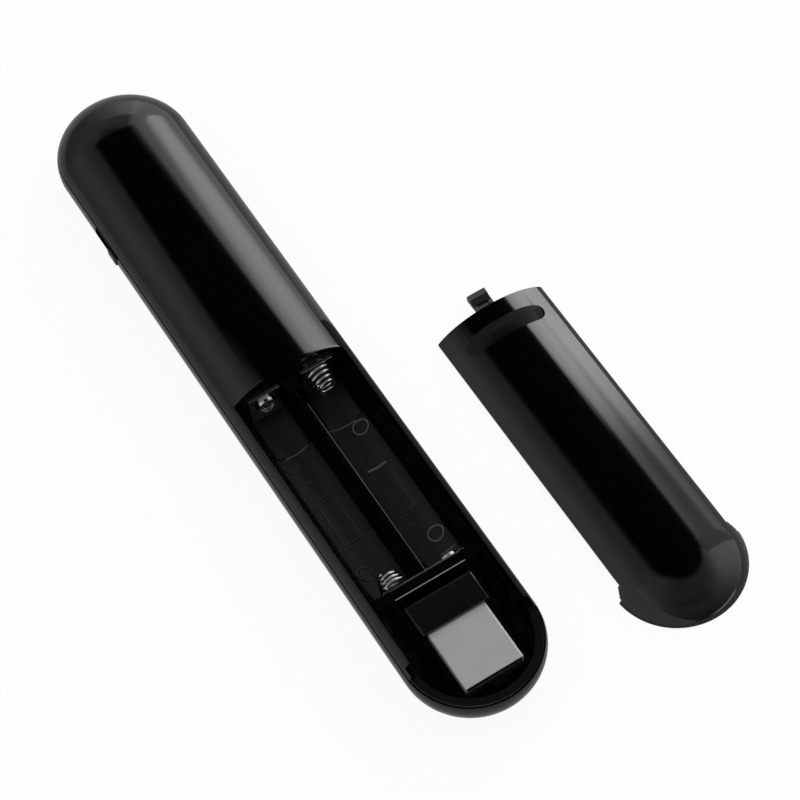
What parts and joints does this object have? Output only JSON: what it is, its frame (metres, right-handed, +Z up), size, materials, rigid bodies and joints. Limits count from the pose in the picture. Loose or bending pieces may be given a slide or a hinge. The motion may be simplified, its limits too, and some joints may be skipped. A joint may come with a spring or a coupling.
{
  "type": "wireless presentation clicker",
  "caption": "Slim battery-powered presentation clicker lying on its buttons with the back cover off: open cell bays, USB receiver stowed in its pocket, side power switch and laser nose.",
  "frame": {"origin": "centre of the flat strip of the front (button) face that the clicker lies on", "axes": "+Z up through the open back, +Y along the body to the laser nose, +X to the side where the cover lies"},
  "size_m": [0.0682, 0.1566, 0.0164],
  "materials": {
    "gloss_black": "glossy black, clean",
    "tray_black": "moulded black, satin on the walls",
    "receiver_black": "glossy black",
    "plug_steel": "satin nickel plate",
    "tongue_black": "moulded",
    "gold_pads": "gold plate",
    "nickel_contact": "bright nickel plate",
    "board_green": "solder mask",
    "chip_black": "moulded package",
    "can_steel": "plated can",
    "laser_brass": "turned brass",
    "laser_window": "dark red window",
    "light_pipe": "clear light pipe",
    "light_chip": "pale package",
    "switch_body": "moulded",
    "switch_knob": "satin black",
    "plunger_grey": "moulded",
    "button_grey": "soft satin dark grey"
  },
  "bodies": {
    "housing": {"front_shell": "gloss_black", "rear_shell": "gloss_black", "battery_tray": "tray_black", "positive_plate": "nickel_contact", "spring_plate": "nickel_contact", "upper_spring": "nickel_contact", "bridge_plate": "nickel_contact", "lower_spring": "nickel_contact", "circuit_board": "board_green", "controller_chip": "chip_black", "crystal_can": "can_steel", "laser_barrel": "laser_brass", "laser_window": "laser_window", "status_light": "light_pipe", "status_chip": "light_chip", "switch_can": "can_steel", "laser_switch": "switch_body", "next_switch": "switch_body", "back_switch": "switch_body", "blank_switch": "switch_body"},
    "cover": {"battery_cover": "gloss_black"},
    "receiver": {"receiver_housing": "receiver_black", "plug_shell": "plug_steel", "plug_tongue": "tongue_black", "plug_pad_1": "gold_pads", "plug_pad_2": "gold_pads", "plug_pad_3": "gold_pads", "plug_pad_4": "gold_pads"},
    "power_slider": {"switch_slider": "switch_knob", "switch_lever": "plunger_grey"},
    "laser_key": {"laser_button": "button_grey", "laser_plunger": "plunger_grey"},
    "next_key": {"next_button": "button_grey", "next_plunger": "plunger_grey"},
    "back_key": {"back_button": "button_grey", "back_plunger": "plunger_grey"},
    "blank_key": {"blank_button": "button_grey", "blank_plunger": "plunger_grey"}
  },
  "joints": [
    {"name": "cover_lift", "type": "slide", "parent": "housing", "child": "cover", "axis": [0, 0, 1], "range_m": [0, 0.03]},
    {"name": "receiver_lift", "type": "slide", "parent": "housing", "child": "receiver", "axis": [0, 0, 1], "range_m": [0, 0.03]},
    {"name": "power_slide", "type": "slide", "parent": "housing", "child": "power_slider", "axis": [0, 1, 0], "range_m": [0, 0.0045]},
    {"name": "laser_press", "type": "slide", "parent": "housing", "child": "laser_key", "axis": [0, 0, 1], "range_m": [0, 0.0005], "stiffness_N_per_m": 600, "springref_m": -0.0002},
    {"name": "next_press", "type": "slide", "parent": "housing", "child": "next_key", "axis": [0, 0, 1], "range_m": [0, 0.0005], "stiffness_N_per_m": 600, "springref_m": -0.0002},
    {"name": "back_press", "type": "slide", "parent": "housing", "child": "back_key", "axis": [0, 0, 1], "range_m": [0, 0.0005], "stiffness_N_per_m": 600, "springref_m": -0.0002},
    {"name": "blank_press", "type": "slide", "parent": "housing", "child": "blank_key", "axis": [0, 0, 1], "range_m": [0, 0.0005], "stiffness_N_per_m": 600, "springref_m": -0.0002}
  ]
}
